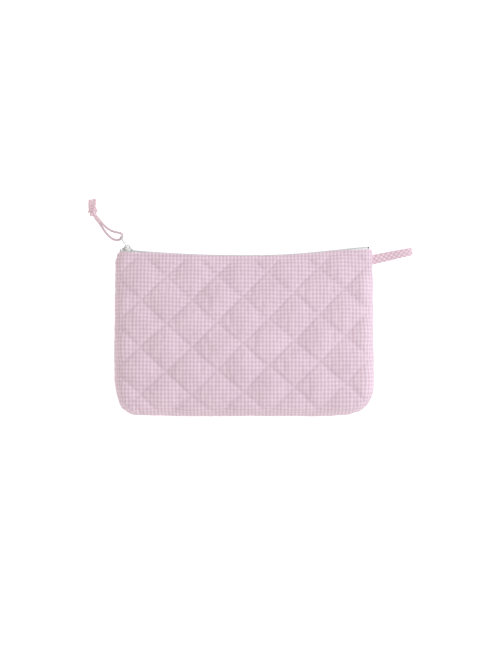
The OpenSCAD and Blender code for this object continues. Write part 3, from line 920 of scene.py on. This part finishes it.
def binding(node, start, end):
    """A binding between two points on the seam, a little uneven as sewn tape is."""
    path = smooth_path(np.array([start, (start + end) / 2, end]), 2.5)
    path[:, 2] += 0.12 * noise(path[:, 0] / 9, path[:, 1] / 9, 31)
    hand = np.where(path[:, 0] < 0, -1, 1)
    for k, way in enumerate(hand):
        path[k, 0] = way * min(abs(path[k, 0]), half_width(path[k, 1], way) - binding_w / 2 - 1.6)
    path[:, 1] += heel_lift(path[:, 0], path[:, 1])
    piece = strand("twill_" + node, path, binding_w, binding_t, sides=16, squareness=4)
    dress(piece, twill)
    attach(piece, "bag")
    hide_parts(node)


for node, hand in (("left_seam_binding", -1), ("right_seam_binding", 1)):
    low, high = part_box(node)
    x = (low.x + high.x) / 2 / MM - hand * pull_in
    y0, y1 = low.y / MM, high.y / MM
    binding(node, *(np.array([x, y, seam_z(y) - binding_drop]) for y in (y0, y1)))
low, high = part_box("base_seam_binding")
y = (low.y + high.y) / 2 / MM + pull_in
z = (low.z + high.z) / 2 / MM
binding("base_seam_binding", np.array([low.x / MM, y, z]), np.array([high.x / MM, y, z]))


# ---- zip tapes ----------------------------------------------------------------
# Two woven polyester tapes, off-white. Each has a flat web that meets the other
# under the coil, and a margin that turns down inside its panel and is sewn on.

tape_cloth, tree = new_material("woven_polyester_zip_tape")
cloth = add(tree, "UVMap", {"uv_map": "cloth"})
ribs = add(tree, "VectorMath", {"operation": "MULTIPLY",
                                1: (2 * math.pi / (1.1 * MM), 2 * math.pi / (0.7 * MM), 0)},
           {0: cloth.outputs[0]})
ribs = add(tree, "VectorMath", {"operation": "SINE"}, {0: ribs.outputs[0]})
ribs = add(tree, "SeparateXYZ", links={0: ribs.outputs[0]})
ribs = add(tree, "Math", {"operation": "MULTIPLY_ADD", 1: 0.6},
           {0: ribs.outputs[0], 2: ribs.outputs[1]})
grain = add(tree, "TexNoise", {"Scale": 160.0, "Detail": 2.0}, {"Vector": cloth.outputs[0]})
tone = add(tree, "Mix", {"data_type": "RGBA", 6: linear("#dfe2e0"), 7: linear("#f0f2f0")},
           {0: grain.outputs[0]})
finished(tree, ribs.outputs[0], 0.5, 0.0001, {"Roughness": 0.6, "Sheen Weight": 0.1},
         tone.outputs[2])

low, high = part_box("back_zip_tape")
tape_half = (high.x - low.x) / 2 / MM
tape_t = 0.5
web_fall = 2.7
margin = 8.0
tape_cols = 200
least_stand = 0.7
# Lines along the tape, from its coil to its sewn edge: the fall below the web's edge,
# and the height over the zip's middle or, with a 1, from the panel's fold.
tape_lines = [(0.0, 0.7, 0), (0.0, 1.7, 0), (-0.05, 2.7, 0), (0.0, -1.5, 1), (0.15, -0.8, 1),
              (0.5, -0.25, 1), (1.1, 0.0, 1), (2.6, 0.02, 1), (4.4, 0.0, 1), (margin, 0.02, 1)]


def rim_height(side, x):
    """Height of a panel's folded edge over the zip's middle, at x."""
    edge = form[side][0][face_end]
    stand = np.abs(edge[:, 2] - seam_z(edge[:, 1]))
    return np.interp(x, edge[:, 0], stand)


for side in (1, -1):
    x = np.linspace(-tape_half, tape_half, tape_cols)
    stand = np.minimum(5.4, rim_height(side, x) - 3.5)
    lines = []
    for fall, out, from_edge in tape_lines:
        height = np.maximum(out + from_edge * stand, least_stand)
        lines.append(np.stack([x, zip_y(x, web_fall + fall), mouth_z + side * height], axis=1))
    lines = np.array(lines)
    wave = 0.12 * noise(x / 6, np.zeros_like(x), 60 + side)
    lines[..., 1] += wave * np.array([1, 1, 1, 1, 0.6, 0.3, 0, 0, 0, 0])[:, None]
    down = np.gradient(lines, axis=0)
    along = np.gradient(lines, axis=1)
    out = np.cross(along, down)
    out /= np.linalg.norm(out, axis=2)[..., None]
    run = np.concatenate([np.zeros((1, tape_cols)),
                          np.cumsum(np.linalg.norm(np.diff(lines, axis=0), axis=2), axis=0)])
    strip = shell(side_name[side] + "_woven_zip_tape", lines + out * tape_t / 2,
                  lines - out * tape_t / 2, np.broadcast_to(x, run.shape), run)
    dress(strip, tape_cloth)
    belong(strip, side, side_name[side] + "_zip_tape")


# ---- zip coils ----------------------------------------------------------------
# One nylon monofilament wound in flat turns along each tape's edge. The turns
# of one side sit between those of the other, which is how the zip holds.

nylon, tree = new_material("moulded_nylon_coil")
speck = add(tree, "TexNoise", {"Scale": 300.0, "Detail": 2.0})
tone = add(tree, "Mix", {"data_type": "RGBA", 6: linear("#eff1f0"), 7: linear("#fafbfb")},
           {0: speck.outputs[0]})
finished(tree, speck.outputs[0], 0.15, 0.0001, {"Roughness": 0.32, "IOR": 1.53},
         tone.outputs[2])

turn_pitch = 1.5
wire_r = 0.33
turn_points = 14
turn_fall, turn_w = 1.2, 0.62
turn_stand, turn_h = 0.95, 1.2


def wire(name, path, radius, sides):
    """A round wire along a path, with no twist."""
    along = np.gradient(path, axis=0)
    along /= np.linalg.norm(along, axis=1)[:, None]
    side = np.cross(along[0], (0.3, 0.5, 0.8))
    turn = np.linspace(0, 2 * np.pi, sides, endpoint=False)
    rings = np.empty((len(path), sides, 3))
    for k, t in enumerate(along):
        side = side - t * (side @ t)
        side /= np.linalg.norm(side)
        up = np.cross(t, side)
        rings[k] = path[k] + radius * (np.cos(turn)[:, None] * up + np.sin(turn)[:, None] * side)
    cloth = np.zeros((len(path), sides + 1, 2))
    cloth[..., 1] = np.arange(len(path))[:, None] * 0.3
    return surface(name, rings, cloth, loop=True, ends=True)


low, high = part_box("back_zip_coil")
coil_half = (high.x - low.x) / 2 / MM
for side in (1, -1):
    turns = int(2 * coil_half / turn_pitch)
    phase = np.linspace(0, turns * 2 * np.pi, turns * turn_points)
    x = -coil_half + turn_pitch * (phase / (2 * np.pi) + 0.25 * side + 0.5)
    fall = turn_fall - turn_w * np.sin(phase)
    stand = turn_stand + turn_h * np.cos(phase)
    path = np.stack([x, zip_y(x, fall), mouth_z + side * stand], axis=1)
    coil = wire(side_name[side] + "_nylon_coil", path, wire_r, 6)
    dress(coil, nylon)
    belong(coil, side, side_name[side] + "_zip_coil")


# ---- zip stops, slider and pull tab -------------------------------------------
# The slider and its tab are die-cast zinc with a bright nickel finish. The stops
# are pressed metal clips that keep the slider on the zip; the lower one is a dark
# brownish grey.

def metal(name, code, rough, grain):
    """Plated metal: smooth and bright, with fine handling marks in its gloss."""
    made, tree = new_material(name)
    marks = add(tree, "TexNoise", {"Scale": grain, "Detail": 4.0, "Roughness": 0.6})
    gloss = add(tree, "MapRange", {"From Min": 0.3, "From Max": 0.7, "To Min": rough * 0.7,
                                   "To Max": rough * 1.5}, {"Value": marks.outputs[0]})
    base = linear(code)
    dull = [c * 0.86 for c in base[:3]] + [1.0]
    tone = add(tree, "Mix", {"data_type": "RGBA", 6: base, 7: dull}, {0: marks.outputs[0]})
    finished(tree, marks.outputs[0], 0.12, 0.00005, {"Metallic": 1.0}, tone.outputs[2],
             gloss.outputs[0])
    return made


nickel = metal("nickel_plated_zinc", "#cfd1d0", 0.3, 900.0)
# The lower stop is given a dark brownish grey, much darker than the nickel.
dark_clip = metal("pressed_metal_clip", "#6c605e", 0.45, 700.0)


def softened(node, name, width):
    """A copy of a CAD node with its edges rounded, as casting and plating leave them."""
    source = frame["nodes"][node]
    mesh = source.data.copy()
    mesh.name = name
    work = bmesh.new()
    work.from_mesh(mesh)
    bmesh.ops.remove_doubles(work, verts=work.verts, dist=0.00001)
    bmesh.ops.dissolve_limit(work, angle_limit=math.radians(1.5), verts=work.verts,
                             edges=work.edges)
    work.to_mesh(mesh)
    work.free()
    copy = place(bpy.data.objects.new(name, mesh))
    bevel = copy.modifiers.new("soft_edges", "BEVEL")
    bevel.width = width * MM
    bevel.segments = 3
    bevel.limit_method = "ANGLE"
    bevel.angle_limit = math.radians(35)
    made = bpy.data.meshes.new_from_object(
        copy.evaluated_get(bpy.context.evaluated_depsgraph_get()))
    copy.modifiers.clear()
    copy.data = made
    made.polygons.foreach_set("use_smooth", [True] * len(made.polygons))
    return copy


# The lower stop is pressed on where the zip's free end has ridden up.
stop_out = 0.9
stop_up = end_rise - 0.3
for node, name, width, made, body, slot in (
        ("slider", "nickel_slider", 0.22, nickel, "slider", "slider_metal"),
        ("pull_tab", "nickel_pull_tab", 0.25, nickel, "pull_tab", "slider_metal"),
        ("zip_top_stops", "pressed_top_stops", 0.25, nickel, "bag", "zip_stop"),
        ("zip_bottom_stop", "pressed_bottom_stop", 0.3, dark_clip, "bag", "zip_stop")):
    piece = softened(node, name, width)
    if node == "zip_bottom_stop":
        for vertex in piece.data.vertices:
            vertex.co.x += stop_out * MM
            vertex.co.y += stop_up * MM
    dress(piece, made)
    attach(piece, body)
    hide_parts(node)


# ---- stitching ----------------------------------------------------------------
# Pale pink polyester thread. Topstitching runs along both edges of the mouth and
# holds the fold to the tape, and the quilting runs in diamonds over each panel.

thread, tree = new_material("spun_polyester_thread")
cloth = add(tree, "UVMap", {"uv_map": "cloth"})
twist = add(tree, "TexWave", {"Scale": 700.0, "Distortion": 0.6, "bands_direction": "DIAGONAL"},
            {"Vector": cloth.outputs[0]})
tone = add(tree, "Mix", {"data_type": "RGBA", 6: linear("#e3c9d4"), 7: linear("#f3e2e9")},
           {0: twist.outputs[1]})
finished(tree, twist.outputs[1], 0.5, 0.00008, {"Roughness": 0.55, "Sheen Weight": 0.25},
         tone.outputs[2])


def stitches(name, starts, ends, ups, radius):
    """Stitches from starts to ends, each a thread that dives into the cloth at both ends."""
    sides = 6
    along = ends - starts
    length = np.linalg.norm(along, axis=1)[:, None]
    along = along / length
    side = np.cross(along, ups)
    side /= np.linalg.norm(side, axis=1)[:, None]
    up = np.cross(side, along)
    turn = np.linspace(0, 2 * np.pi, sides, endpoint=False)
    rings = []
    for t, lift, size in ((0, -1.9, 0.6), (0.12, -0.2, 0.95), (0.5, 0.75, 1.0),
                          (0.88, -0.2, 0.95), (1, -1.9, 0.6)):
        middle = starts + along * length * t + up * radius * lift
        ring = (np.cos(turn)[:, None] * up[:, None] + np.sin(turn)[:, None] * side[:, None])
        rings.append(middle[:, None] + ring * radius * size)
    points = np.stack(rings, axis=1)
    count, steps = points.shape[:2]
    faces = []
    for k in range(count):
        first = k * steps * sides
        for j in range(steps - 1):
            for i in range(sides):
                n = (i + 1) % sides
                a, b = first + j * sides, first + (j + 1) * sides
                faces.append((a + i, a + n, b + n, b + i))
        faces.append(tuple(first + i for i in range(sides - 1, -1, -1)))
        faces.append(tuple(first + (steps - 1) * sides + i for i in range(sides)))
    at = np.concatenate([np.array(f) for f in faces])
    piece = cloth_mesh(name, points, faces, np.stack([at % sides * 0.3, at // sides * 0.8], axis=1))
    dress(piece, thread)
    return piece


def on_panel(side, u_at, v_at):
    """Points and normals on a panel's outside at unrolled coordinates."""
    normal, u, v, outer = form[side][1:]
    rows = face_end
    flat_u, flat_v = u[:rows].ravel(), v[:rows].ravel()
    along_u = np.gradient(outer[:rows], axis=1) / np.gradient(u[:rows], axis=1)[..., None]
    along_v = np.gradient(outer[:rows], axis=0) / np.gradient(v[:rows], axis=0)[..., None]
    points = np.empty((len(u_at), 3))
    normals = np.empty((len(u_at), 3))
    for k in range(len(u_at)):
        n = int(np.argmin((flat_u - u_at[k]) ** 2 + (flat_v - v_at[k]) ** 2))
        j, i = divmod(n, u.shape[1])
        points[k] = (outer[j, i] + along_u[j, i] * (u_at[k] - u[j, i])
                     + along_v[j, i] * (v_at[k] - v[j, i]))
        normals[k] = normal[j, i]
    return points, normals


stitch_pitch = 3.6
stitch_l = 2.7
thread_r = 0.22
quilting_pitch = 3.4
quilting_r = 0.17
topstitch_end = 108
each_way = int(topstitch_end / stitch_pitch)
for side in (1, -1):
    u, v = form[side][2:4]
    fold = face_end + fold_steps // 2
    middles = np.arange(-each_way, each_way + 1) * stitch_pitch
    ends_at = []
    for shift in (-stitch_l / 2, stitch_l / 2):
        at = middles + shift
        ends_at.append(on_panel(side, at, np.interp(at, u[fold], v[fold]) - top_down))
    row = stitches(side_name[side] + "_edge_topstitching", ends_at[0][0], ends_at[1][0],
                   ends_at[0][1], thread_r)
    belong(row, side, side_name[side] + "_topstitching")


base_clear = 3
mouth_clear = 6


def quilt_rows(side):
    """Middle points of the quilting stitches, and their direction, on a panel."""
    u, v = form[side][2:4]
    seed = quilt_seed[side]
    step = quilting_pitch * quilt_w / math.hypot(quilt_w, quilt_h)
    u0, u1 = u[:face_end].min() + base_clear, u[:face_end].max() - base_clear
    spots = []
    for way in (1, -1):
        for k in range(-9, 10):
            x = np.arange(u0, u1, step)
            y = quilt_at[1] + way * quilt_h * (k - (x - quilt_at[0]) / quilt_w)
            y = y + quilt_skew * (np.maximum(x, quilt_level) - quilt_at[0])
            stray_x, stray_y = quilt_drift(x, y, seed)
            x2, y2 = x - stray_x, y - stray_y
            lowest = np.interp(x2, u[0], v[0])
            highest = np.interp(x2, u[face_end - 1], v[face_end - 1])
            inside = (y2 > lowest + base_clear) & (y2 < highest - mouth_clear)
            spots += [(a, b, way) for a, b in zip(x2[inside], y2[inside])]
    return np.array(spots)


slant = np.array([quilt_w, quilt_h]) / math.hypot(quilt_w, quilt_h)
for side in (1, -1):
    spots = quilt_rows(side)
    half = stitch_l * 0.42
    du, dv = half * slant[0], -half * slant[1] * spots[:, 2]
    first = on_panel(side, spots[:, 0] - du, spots[:, 1] - dv)
    second = on_panel(side, spots[:, 0] + du, spots[:, 1] + dv)
    row = stitches(side_name[side] + "_quilting_stitches", first[0], second[0], first[1],
                   quilting_r)
    belong(row, side)


# ---- side loop ----------------------------------------------------------------
# A strip of the gingham cut on the bias, folded twice and edge-stitched into a
# strap, then doubled and caught in the side seam just below the zip.

hinge = hinges["side_loop_bend"]
loop_at = np.array(hinge["pos_m"]) / MM
hinge_axis = np.array(hinge["axis"])
loop_out = np.array([-hinge_axis[1], hinge_axis[0], 0.0])
loop_out /= np.linalg.norm(loop_out)
loop_across = np.array([-loop_out[1], loop_out[0], 0.0])
strap_l = 34.6
strap_half = 5.09
strap_t = 1.3
edge_in = 1.3
root_clear = 5.5
strap_pitch = 2.6
strap_stitch = 1.9

angle = np.radians(np.linspace(6, 354, 90))
reach_out = strap_l * (1 - np.cos(angle)) / 2 + 0.35
height = strap_half * np.sin(angle) * np.sin(angle / 2) ** 3
side_at = np.sign(np.sin(angle)) * 0.75 * np.minimum(1, np.abs(np.sin(angle)) * 6)
reach_out = np.concatenate([[-5, -3, -1.2], reach_out, [-1.2, -3, -5]])
height = np.concatenate([[0.72, 0.72, 0.72], height + side_at, [-0.72, -0.72, -0.72]])
strap_path = (loop_at + reach_out[:, None] * loop_out
              + height[:, None] * np.array([0, 0, 1.0]))
strap_path = smooth_path(strap_path, 0.6)
along = np.gradient(strap_path, axis=0)
strap_up = np.cross(loop_across, along)
out_here = (strap_path - loop_at) @ loop_out
strap_w = np.interp(out_here, [-5, 0, 14, 28, 35], [8.8, 8.8, 8.2, 7.4, 6.9])
strap = strand("bias_gingham_strap", strap_path, strap_w, strap_t, sides=28, up=strap_up,
               end_round=False, squareness=4.5)
strap_gingham = gingham("bias_cut_gingham_strap", "#eedde4", "#dab2c0", 3.3, 3.3,
                        bias=on_bias, thread=0.4)
dress(strap, strap_gingham)
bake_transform(strap)
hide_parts("side_loop")

run = run_along(strap_path)
middles = np.arange(root_clear, run[-1] - root_clear, strap_pitch)
starts, finishes, ups = [], [], []
for edge in (-1, 1):
    for middle in middles:
        spots = []
        for at in (middle - strap_stitch / 2, middle + strap_stitch / 2):
            here = np.array([np.interp(at, run, strap_path[:, k]) for k in range(3)])
            up = np.array([np.interp(at, run, strap_up[:, k]) for k in range(3)])
            up /= np.linalg.norm(up)
            wide = np.interp(at, run, strap_w)
            spots.append(here + loop_across * edge * (wide / 2 - edge_in) + up * strap_t / 2)
        starts.append(spots[0])
        finishes.append(spots[1])
        ups.append(up)
loop_stitches = stitches("strap_edge_stitching", np.array(starts), np.array(finishes),
                         np.array(ups), 0.2)
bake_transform(loop_stitches)
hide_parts("side_loop_stitching")
